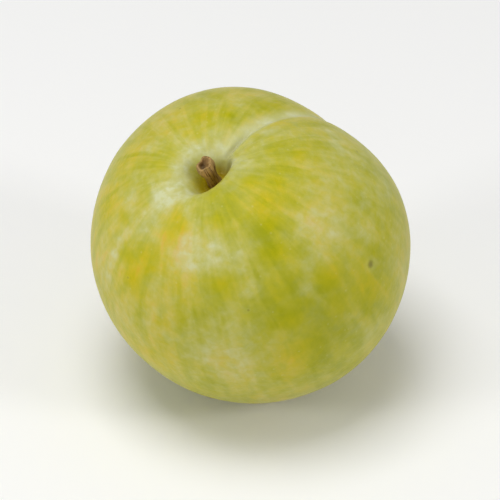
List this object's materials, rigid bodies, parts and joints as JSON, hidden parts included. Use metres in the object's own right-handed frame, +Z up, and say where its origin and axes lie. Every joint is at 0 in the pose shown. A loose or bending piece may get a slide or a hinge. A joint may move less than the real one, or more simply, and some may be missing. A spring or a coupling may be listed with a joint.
{
  "type": "plum",
  "caption": "Whole yellow-green plum with a seam in a soft furrow and a stub of stalk in its stem hollow, resting on a small flat spot.",
  "frame": {"origin": "centre of the small flat spot the plum rests on", "axes": "+Z up. The stem axis leans 27.9 degrees from +Z towards the front and left, 127.5 degrees clockwise from +X seen from above. The seam starts at the stem hollow and runs over the top towards the back and right."},
  "size_m": [0.0461, 0.046, 0.0445],
  "materials": {
    "plum_skin": "satin waxy skin with a pale bloom",
    "stalk_wood": "dry, unfinished"
  },
  "bodies": {
    "root": {"fruit": "plum_skin", "stalk": "stalk_wood"}
  },
  "joints": []
}
